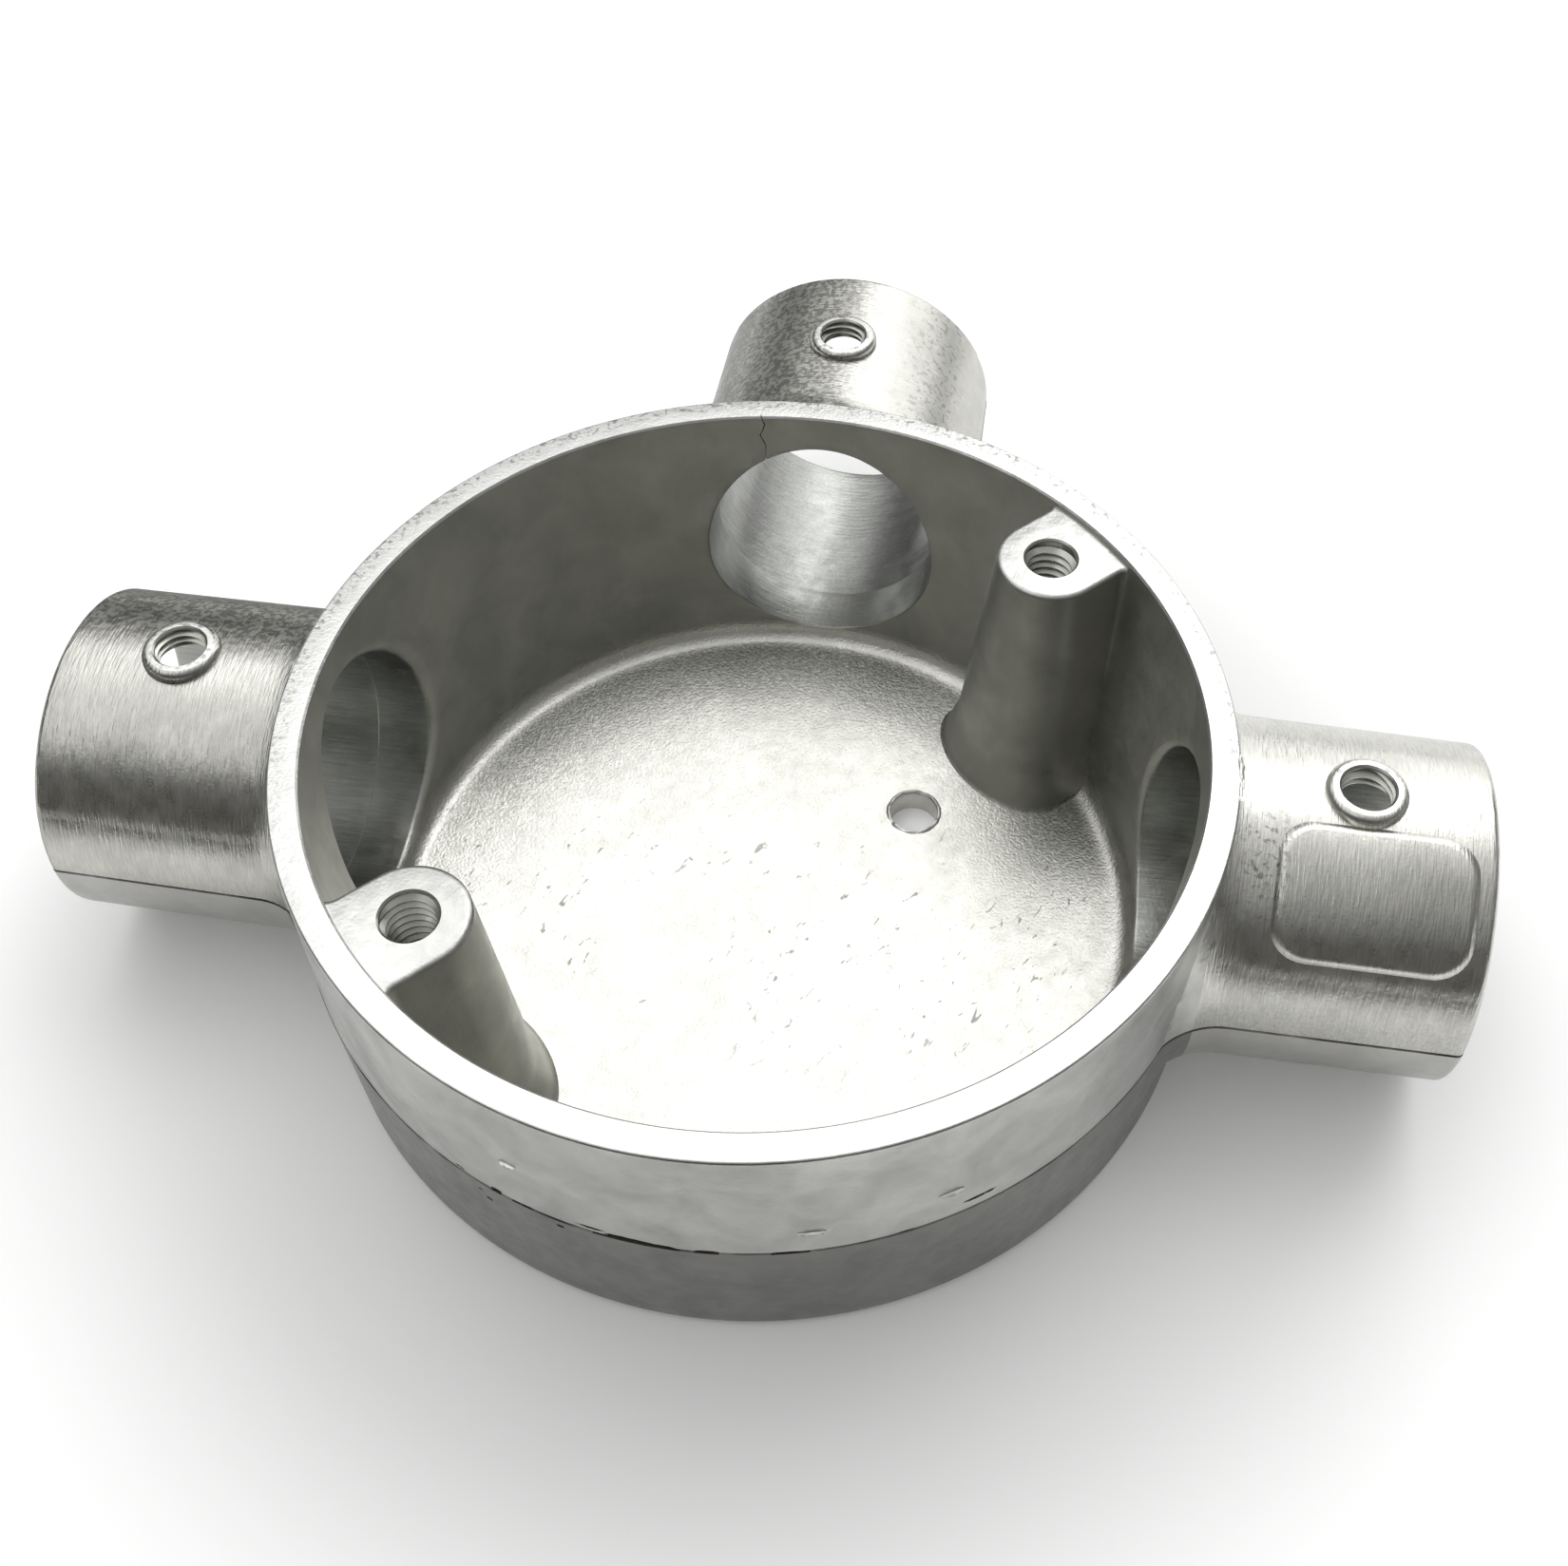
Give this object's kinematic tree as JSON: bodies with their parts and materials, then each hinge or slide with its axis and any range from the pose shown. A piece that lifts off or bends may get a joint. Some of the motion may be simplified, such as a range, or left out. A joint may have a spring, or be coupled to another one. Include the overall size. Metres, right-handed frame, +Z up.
{
  "type": "three-way conduit box",
  "caption": "Round die-cast metal conduit box, open at the top, with smooth spouts at left, right and back for plain-ended conduit held by set screws, and tapped bosses for a lid.",
  "frame": {"origin": "centre of the flat underside", "axes": "+X along the right-hand spout, +Y along the middle spout, +Z up through the open top"},
  "size_m": [0.0948, 0.0789, 0.0238],
  "materials": {
    "casting": "satin die-cast with a ground rim"
  },
  "bodies": {
    "root": {"box_casting": "casting"}
  },
  "joints": []
}
